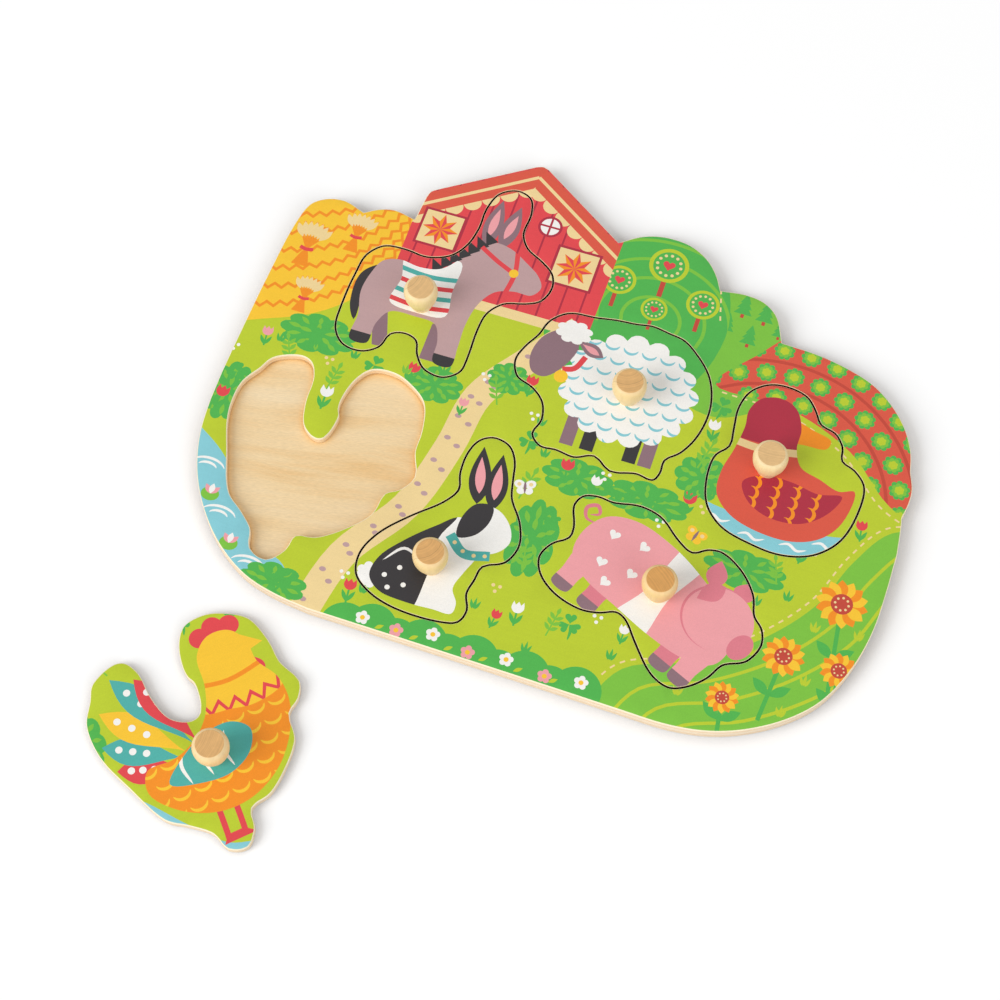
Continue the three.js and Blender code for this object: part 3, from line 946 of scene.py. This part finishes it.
def panel(name, edges, upper, lower, thick, art, place, materials):
    """One closed panel, drawn with its underside at height 0 and then placed. Its edges are its outline and
    its holes, `upper` is how round each is above, and `lower` is how round they are below."""
    def drawn_in(edge, distance):
        inward = -distance if edge else distance
        return shifted(edges[edge], [inward] * len(edges[edge]), closed=True)

    upper_edges = [drawn_in(edge, radius) for edge, radius in enumerate(upper)]
    coords, triangles, inks, anchors = cut_print(upper_edges, art)
    points = [(p.x, p.y, thick) for p in coords]
    faces, slots = [*triangles], [UPPER] * len(triangles)
    above = rims(triangles)
    places = [edge_places(loop, coords, anchors) for loop in above]
    profiles = [rounding(thick, radius, lower) for radius in upper]
    for step in range(len(profiles[0])):
        below = []
        for line, spots in zip(above, places):
            edge = spots[0][0]
            out, height = profiles[edge][step]
            drawn = drawn_in(edge, upper[edge] - out)
            lower_line = list(range(len(points), len(points) + len(line)))
            for _, before, after, share in spots:
                spot = Vector(drawn[before]).lerp(Vector(drawn[after]), share)
                points.append((spot.x, spot.y, height))
            for (a, b), (low_a, low_b) in zip(pairs(line), pairs(lower_line)):
                faces.append([b, a, low_a, low_b])
                slots.append(INNER if edge else OUTER)
            below.append(lower_line)
        above = below
    _, bottom, holders, marks = filled([[points[i][:2] for i in line] for line in above])
    outline = next(i for i, spots in enumerate(places) if spots[0][0] == 0)
    for triangle, held in zip(bottom, holders):
        if held == {outline}:
            turned_over = [marks[i][0] for i in reversed(triangle)]
            faces.append([above[line][spot] for line, spot in turned_over])
            slots.append(UNDER)
    return mesh_object(name, points, place, faces, slots, inks, materials)


def linked(name, data):
    """A new object in the scene."""
    thing = bpy.data.objects.new(name, data)
    bpy.context.scene.collection.objects.link(thing)
    return thing


def mesh_object(name, points, place, faces, slots, inks, materials):
    """An object of these faces, moved to its place. Its points keep where they were drawn, which the grain
    follows. The first faces carry inks, and the edges' faces are shaded smooth."""
    mesh = bpy.data.meshes.new(name)
    mesh.from_pydata([place @ Vector(p) * MM for p in points], [], faces)
    drawn = mesh.attributes.new("drawn", "FLOAT_VECTOR", "POINT")
    drawn.data.foreach_set("vector", [c * MM for p in points for c in p])
    mesh.polygons.foreach_set("material_index", slots)
    mesh.polygons.foreach_set("use_smooth", [slot in (OUTER, INNER) for slot in slots])
    colours = mesh.attributes.new("ink", "FLOAT_COLOR", "CORNER")
    values = []
    for i, face in enumerate(faces):
        values += (linear(INK[inks[i]]) if i < len(inks) else WHITE) * len(face)
    colours.data.foreach_set("color", values)
    mesh.set_sharp_from_angle(angle=CREASE)
    for material in materials:
        mesh.materials.append(material)
    return linked(name, mesh)


# Knobs
def knob_profile(node):
    """The half section of a knob's solid as (radius, height) in millimetres, from the axis below to the axis
    above."""
    low, high = (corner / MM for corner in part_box(node))
    middle = (low + high) / 2
    section = set()
    for v in frame["nodes"][node].data.vertices:
        p = v.co / MM
        section.add((round(math.dist(p.xy, middle.xy), 2), round(p.z - low.z, 2)))
    section = sorted(section, key=lambda p: (p[1], p[0]))
    top = [p for p in section if p[1] == section[-1][1]]
    return section[:-len(top)] + top[::-1]


def knob(name, node, place, wood_of, material):
    """A turned knob of its solid's section, with its spigot, drawn from height 0 and then placed."""
    section = knob_profile(node)
    foot = next(i for i in range(3, len(section)) if section[i][1] == section[i - 1][1])
    rim = section[-2]
    turned = smooth(section[foot:-1], closed=False, steps=KNOB_STEPS)
    profile = section[1:foot] + turned + [(rim[0] - KNOB_EDGE, rim[1])]
    points = [(x, y, z) for r, z in profile for x, y in ring(0, 0, KNOB_SIDES, r)]
    rings = [list(range(first, first + KNOB_SIDES)) for first in range(0, len(points), KNOB_SIDES)]
    faces = []
    for below, above in zip(rings, rings[1:]):
        faces += [[a, b, d, c] for (a, b), (c, d) in zip(pairs(below), pairs(above))]
    for edge, height in ((rings[0][::-1], profile[0][1]), (rings[-1], profile[-1][1])):
        faces += [[a, b, len(points)] for a, b in pairs(edge)]
        points.append((0, 0, height))
    thing = mesh_object(name, points, place, faces, [OUTER] * len(faces), [], [material, material])
    grain_turn, pith, warmth = wood_of
    wood = thing.data.attributes.new("wood", "FLOAT_VECTOR", "POINT")
    turn = Matrix.Rotation(math.radians(grain_turn), 4, "Z")
    offset = Vector((pith, 0, pith)) * MM
    wood.data.foreach_set("vector", [c for p in points for c in turn @ (Vector(p) * MM) + offset])
    warm = thing.data.attributes.new("warm", "FLOAT", "POINT")
    warm.data.foreach_set("value", [warmth] * len(points))
    return thing


# Shader nodes
def node(tree, kind, inputs=None, **settings):
    """A shader node. An input that is a socket is linked, and any other is set."""
    made = tree.nodes.new("ShaderNode" + kind)
    for key, value in settings.items():
        setattr(made, key, value)
    for key, value in (inputs or {}).items():
        if isinstance(value, bpy.types.NodeSocket):
            tree.links.new(value, made.inputs[key])
        else:
            made.inputs[key].default_value = value
    return made


def attribute(tree, name, output="Vector"):
    return node(tree, "Attribute", attribute_name=name).outputs[output]


def height_of(tree, place):
    return node(tree, "SeparateXYZ", {0: place}).outputs["Z"]


def noise(tree, place, scale, detail):
    """Noise over places that are scaled along each axis, in repeats per metre."""
    spread = node(tree, "Mapping", {"Vector": place, "Scale": scale}).outputs[0]
    inputs = {"Vector": spread, "Scale": 1.0, "Detail": detail, "Roughness": NOISE_ROUGHNESS}
    return node(tree, "TexNoise", inputs).outputs["Fac"]


def ranged(tree, value, low, high, start=0.3, end=0.7):
    """A value from start to end, laid over low to high."""
    inputs = {"Value": value, "From Min": start, "From Max": end, "To Min": low, "To Max": high}
    return node(tree, "MapRange", inputs).outputs["Result"]


def textured(tree, place, texture):
    """A texture's noise and the shade that it gives."""
    scale, detail, low, high = texture
    value = noise(tree, place, scale, detail)
    return value, ranged(tree, value, low, high)


def maths(tree, operation, *values):
    return node(tree, "Math", dict(enumerate(values)), operation=operation).outputs[0]


def vector_maths(tree, operation, inputs, output=0):
    return node(tree, "VectorMath", inputs, operation=operation).outputs[output]


def tinted(tree, colour, shade, *shades):
    """A colour times some shades."""
    for other in shades:
        shade = maths(tree, "MULTIPLY", shade, other)
    return vector_maths(tree, "SCALE", {0: colour, "Scale": shade})


def mixed(tree, factor, a, b, blend="MIX"):
    inputs = {"Factor": factor, 6: a, 7: b}
    return node(tree, "Mix", inputs, data_type="RGBA", blend_type=blend).outputs[2]


def ramp(tree, value, stops, way="LINEAR"):
    """A colour ramp through (place, colour) stops."""
    made = node(tree, "ValToRGB", {"Fac": value})
    made.color_ramp.interpolation = way
    elements = made.color_ramp.elements
    while len(elements) < len(stops):
        elements.new(1.0)
    for element, (place, colour) in zip(elements, stops):
        element.position = place
        element.color = colour
    return made.outputs["Color"]


def toned(stops):
    """Stops of a ramp whose colours are given as codes."""
    return [(place, linear(code)) for place, code in stops]


def openness(tree, reach, samples):
    """1 where nothing is near a surface, and less the more of its sky is hidden within the reach."""
    return node(tree, "AmbientOcclusion", {"Distance": reach}, samples=samples).outputs["AO"]


def emptied(owner):
    """The node tree of a material or a world, with nothing in it."""
    owner.use_nodes = True
    owner.node_tree.nodes.clear()
    return owner.node_tree


# Materials
def surface(name, build, look):
    """A material. `build` wires its colour, the grain that its roughness follows, and the height of its
    bumps."""
    made = bpy.data.materials.new(name)
    tree = emptied(made)
    colour, grain, height = build(tree)
    smoothest, roughest, bump, shine = look
    roughness = ranged(tree, grain, smoothest, roughest)
    inputs = {"Height": height, "Strength": bump, "Distance": BUMP_DEPTH}
    normal = node(tree, "Bump", inputs).outputs[0]
    inputs = {"Base Color": colour, "Roughness": roughness, "Normal": normal, "Specular IOR Level": shine}
    shader = node(tree, "BsdfPrincipled", inputs)
    node(tree, "OutputMaterial", {"Surface": shader.outputs[0]})
    return made


def painted_gap_shade(tree, colour):
    """A colour that falls to a painted shade where a wall stands close in front of the surface: near black
    deep in a saw gap, brown at the foot of a wall. A surface that lies on another one keeps its colour."""
    shade = ramp(tree, openness(tree, GAP_REACH, samples=16), GAP_SHADES)
    shade = mixed(tree, openness(tree, TOUCH_REACH, samples=4), WHITE, shade)
    return mixed(tree, 1.0, colour, shade, "MULTIPLY")


def printed(tree):
    """Flat inks under a satin varnish, with a fine speckle and the veneer's grain just showing."""
    place = attribute(tree, "drawn")
    grain, grain_shade = textured(tree, place, PRINT_GRAIN)
    speckle, speckle_shade = textured(tree, place, PRINT_SPECKLE)
    _, cloud_shade = textured(tree, place, PRINT_CLOUD)
    colour = tinted(tree, attribute(tree, "ink", "Color"), grain_shade, speckle_shade, cloud_shade)
    height = maths(tree, "ADD", maths(tree, "MULTIPLY", grain, GRAIN_RELIEF),
                   maths(tree, "MULTIPLY", speckle, SPECKLE_RELIEF))
    return colour, grain, height


def ply_edge(tree):
    """The edge of plywood: pale outer veneers, a tanner core across the grain and a thin glue line."""
    place = attribute(tree, "drawn")
    layer = ranged(tree, height_of(tree, place), 0, 1, 0, thickness("frame_panel") * MM)
    fibres, fibre_shade = textured(tree, place, EDGE_FIBRES)
    pores, pore_shade = textured(tree, place, EDGE_PORES)
    colour = tinted(tree, ramp(tree, layer, toned(PLIES)), fibre_shade, pore_shade)
    return colour, fibres, maths(tree, "ADD", fibres, pores)


def gap_shaded_edge(tree):
    """The edge of plywood beside a saw gap, darkened by a painted shade deep in the gap."""
    colour, *rest = ply_edge(tree)
    return painted_gap_shade(tree, colour), *rest


def bare_face(tree):
    """Sanded birch veneer with its grain nearly along the board, and a painted shade in the saw gaps
    and at the foot of the recess walls.
    """
    inputs = {"Vector": attribute(tree, "drawn"), "Rotation": (0, 0, -GRAIN_TURN)}
    place = node(tree, "Mapping", inputs).outputs[0]
    sway = maths(tree, "MULTIPLY", noise(tree, place, *FACE_SWAY), FACE_SWAY_BY)
    place = vector_maths(tree, "ADD", {0: place, 1: node(tree, "CombineXYZ", {"Y": sway}).outputs[0]})
    bands = noise(tree, place, *FACE_BANDS)
    lines, line_shade = textured(tree, place, FACE_LINES)
    flecks, fleck_shade = textured(tree, place, FACE_FLECKS)
    colour = tinted(tree, ramp(tree, bands, toned(FACE_TONES)), line_shade, fleck_shade)
    # painted shade in the saw gaps and at the foot of the recess walls, by how open the face is
    return painted_gap_shade(tree, colour), lines, maths(tree, "ADD", lines, flecks)


def turned_wood(tree):
    """Turned hardwood: pale long grain on the sides, darker end grain with growth rings on the flat top."""
    wood = attribute(tree, "wood")
    parts = node(tree, "SeparateXYZ", {0: wood}).outputs
    across = node(tree, "CombineXYZ", {"X": parts["X"], "Y": parts["Y"]}).outputs[0]
    sway = maths(tree, "MULTIPLY", noise(tree, wood, *KNOB_SWAY), KNOB_SWAY_BY)
    away = maths(tree, "ADD", vector_maths(tree, "LENGTH", {0: across}, "Value"), sway)
    years, side_growth = textured(tree, node(tree, "CombineXYZ", {"X": away}).outputs[0], KNOB_YEARS)
    top_growth = ranged(tree, years, *TOP_GROWTH)
    pores = noise(tree, wood, *KNOB_PORES)
    fibres, fibre_shade = textured(tree, wood, KNOB_FIBRES)
    warm = attribute(tree, "warm", "Fac")
    side, end = [mixed(tree, warm, *map(linear, tones)) for tones in (KNOB_SIDE_TONES, KNOB_TOP_TONES)]
    up = height_of(tree, attribute(tree, "drawn"))
    knob_top = thickness("donkey_knob")
    top = ranged(tree, up, 0, 1, (knob_top - KNOB_TOP_BLEND) * MM, knob_top * MM)
    split = maths(tree, "COMPARE", away, SPLIT_AT * MM, SPLIT_WIDTH * MM / 2)
    colour = tinted(tree, mixed(tree, top, side, end), mixed(tree, top, side_growth, top_growth),
                    ranged(tree, pores, *PORE_SHADE), fibre_shade, ranged(tree, split, 1, SPLIT_SHADE, 0, 1))
    marks = maths(tree, "SINE", maths(tree, "MULTIPLY", up, LATHE_MARKS))
    return colour, fibres, maths(tree, "ADD", maths(tree, "MULTIPLY", marks, LATHE_RELIEF), pores)


INK_FACE = surface("printed_plywood", printed, PRINT_LOOK)
PLY_EDGE = surface("plywood_edge", ply_edge, EDGE_LOOK)
# sawn edges beside the saw gaps, with their painted shade
GAP_SHADED_EDGE = surface("gap_shaded_edge", gap_shaded_edge, EDGE_LOOK)
BARE_FACE = surface("bare_plywood", bare_face, FACE_LOOK)
TURNED = surface("turned_wood", turned_wood, KNOB_LOOK)


# Putting the pieces in place
def stand_for(thing, body, slot, *nodes):
    """Makes a piece stand for its solid, on that solid's body."""
    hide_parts(*nodes)
    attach(thing, body)


def piece_loops(name):
    """The outline of an animal's piece and the hole for its knob."""
    tile = f"{name}_piece"
    return outlines(tile, heights(tile)[1])


def is_empty(recess):
    """True if no piece lies in a recess."""
    middles = [centroid(piece_loops(name)[0]) for name in ANIMALS]
    return min(math.dist(centroid(recess), middle) for middle in middles) > SEATED_WITHIN


def board(art):
    """The two panels of the board. It gives back the outlines of the recesses."""
    back_levels = heights("backing_panel")
    outline = refined(outlines("backing_panel", back_levels[1])[0])
    thick = back_levels[-1]
    back = panel("board_back", [outline], [0], BOARD_ROUND, thick, Print(), Matrix.Identity(4),
                 [BARE_FACE, PLY_EDGE, BARE_FACE])
    stand_for(back, "board", "bare_plywood", "backing_panel")
    face_levels = heights("frame_panel")
    edges = [refined(loop) for loop in outlines("frame_panel", face_levels[1])]
    recesses = edges[1:]
    upper = [BOARD_ROUND] + [OPEN_ROUND if is_empty(recess) else SAWN_ROUND for recess in recesses]
    face = panel("board_face", edges, upper, 0, face_levels[-1] - thick, art,
                 Matrix.Translation((0, 0, thick)), [INK_FACE, PLY_EDGE, BARE_FACE, GAP_SHADED_EDGE])
    stand_for(face, "board", "printed_plywood", "frame_panel")
    return recesses


def animal(name, art, recesses):
    """A printed piece with its knob. It is drawn over its recess, then put where its solid is. The loose
    piece comes last, so the recess that is left is its own."""
    tile, grip = f"{name}_piece", f"{name}_knob"
    levels = heights(tile)
    outline, hole = piece_loops(name)
    place = Matrix.Translation((0, 0, levels[0]))
    middle = Vector(centroid(outline))
    seated = min(recesses, key=lambda r: math.dist(centroid(r), middle))
    recesses.remove(seated)
    # a seated piece's sawn edges carry the painted gap shade, and the loose piece's edges don't
    edge, radius = GAP_SHADED_EDGE, SAWN_ROUND
    if is_empty(seated):
        edge, radius = PLY_EDGE, OPEN_ROUND
        home = Vector(centroid(seated))
        back = Matrix.Rotation(-LOOSE_TURN, 2)
        outline, hole = [[tuple(back @ (Vector(p) - middle) + home) for p in loop]
                         for loop in (outline, hole)]
        place = (Matrix.Translation((*middle, levels[0])) @ Matrix.Rotation(LOOSE_TURN, 4, "Z")
                 @ Matrix.Translation((*-home, 0)))
    thing = panel(f"{name}_tile", [refined(outline), refined(hole)], [radius, SAWN_ROUND], SAWN_ROUND,
                  levels[-1] - levels[0], art, place, [INK_FACE, edge, BARE_FACE, edge])
    stand_for(thing, name, "printed_plywood", tile)
    low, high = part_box(grip)
    middle = (low + high) / 2 / MM
    place = Matrix.Translation((middle.x, middle.y, low.z / MM))
    turned = knob(f"{name}_grip", grip, place, KNOB_WOOD[name], TURNED)
    stand_for(turned, name, "turned_wood", grip)


def puzzle():
    ground = meadow()
    recesses = board(ground)
    for name, draw in ANIMALS.items():
        art = Print(ground.shapes)
        draw(art.add)
        animal(name, art, recesses)


# Stage
def seen_directly(tree):
    """1 for what the camera sees straight, in a shine or through glass, and 0 for light on the object."""
    rays = node(tree, "LightPath").outputs
    seen = maths(tree, "MAXIMUM", rays["Is Camera Ray"], rays["Is Glossy Ray"])
    return maths(tree, "MAXIMUM", seen, rays["Is Transmission Ray"])


def floor():
    half = FLOOR_SIZE / 2
    mesh = bpy.data.meshes.new("floor")
    mesh.from_pydata([(x, y, 0) for x, y in box(-half, -half, half, half)], [], [(0, 1, 2, 3)])
    thing = linked("floor", mesh)
    made = bpy.data.materials.new("floor")
    tree = emptied(made)
    seen = seen_directly(tree)
    tone = ranged(tree, seen, FLOOR_TONE, FLOOR_SEEN, 0, 1)
    # a painted shade on the floor near the parts, cooler and darker where it is less open
    shade = ramp(tree, openness(tree, FLOOR_REACH, samples=8), FLOOR_SHADES, "EASE")
    matt = node(tree, "BsdfDiffuse", {"Color": tinted(tree, shade, tone)})
    place = node(tree, "NewGeometry").outputs["Position"]
    away = vector_maths(tree, "LENGTH", {0: place}, "Value")
    share = maths(tree, "MULTIPLY", seen, ranged(tree, away, 0, 1, FLOOR_NEAR, FLOOR_FAR))
    white = node(tree, "Emission", {"Color": WHITE, "Strength": 1.0})
    both = node(tree, "MixShader", {0: share, 1: matt.outputs[0], 2: white.outputs[0]})
    node(tree, "OutputMaterial", {"Surface": both.outputs[0]})
    mesh.materials.append(made)


def world():
    made = bpy.data.worlds.new("studio")
    tree = emptied(made)
    strength = ranged(tree, seen_directly(tree), WORLD_LIGHT, 1.0, 0, 1)
    sky = node(tree, "Background", {"Color": WHITE, "Strength": strength})
    node(tree, "OutputWorld", {"Surface": sky.outputs[0]})
    bpy.context.scene.world = made


def aimed(name, data, aim, away, up, turn):
    """An object that looks at a point in metres, from an angle above the table and one round from the
    front."""
    thing = linked(name, data)
    towards = Vector((math.sin(turn) * math.cos(up), -math.cos(turn) * math.cos(up), math.sin(up)))
    thing.location = aim + towards * away
    thing.rotation_euler = (-towards).to_track_quat("-Z", "Y").to_euler()
    return thing


def lamp(name, power, size, up, round_from_view):
    """A square soft lamp that faces the board, placed by its angles from the camera's side."""
    light = bpy.data.lights.new(name, "AREA")
    light.energy = power
    light.size = size
    aimed(name, light, Vector((*CAMERA_AIM, 0)) * MM, LAMP_AWAY, up, CAMERA_ROUND + round_from_view)


def camera():
    lens = bpy.data.cameras.new("camera")
    lens.sensor_width = SENSOR
    lens.lens = SENSOR * FOCAL_PIXELS / PICTURE
    aim = Vector((*CAMERA_AIM, heights("frame_panel")[-1])) * MM
    bpy.context.scene.camera = aimed("camera", lens, aim, CAMERA_AWAY * MM, CAMERA_UP, CAMERA_ROUND)


camera()
puzzle()
floor()
world()
lamp("key", KEY_POWER, KEY_SIZE, KEY_UP, KEY_ROUND)
lamp("fill", FILL_POWER, FILL_SIZE, FILL_UP, FILL_ROUND)
bpy.context.scene.view_settings.view_transform = "Standard"
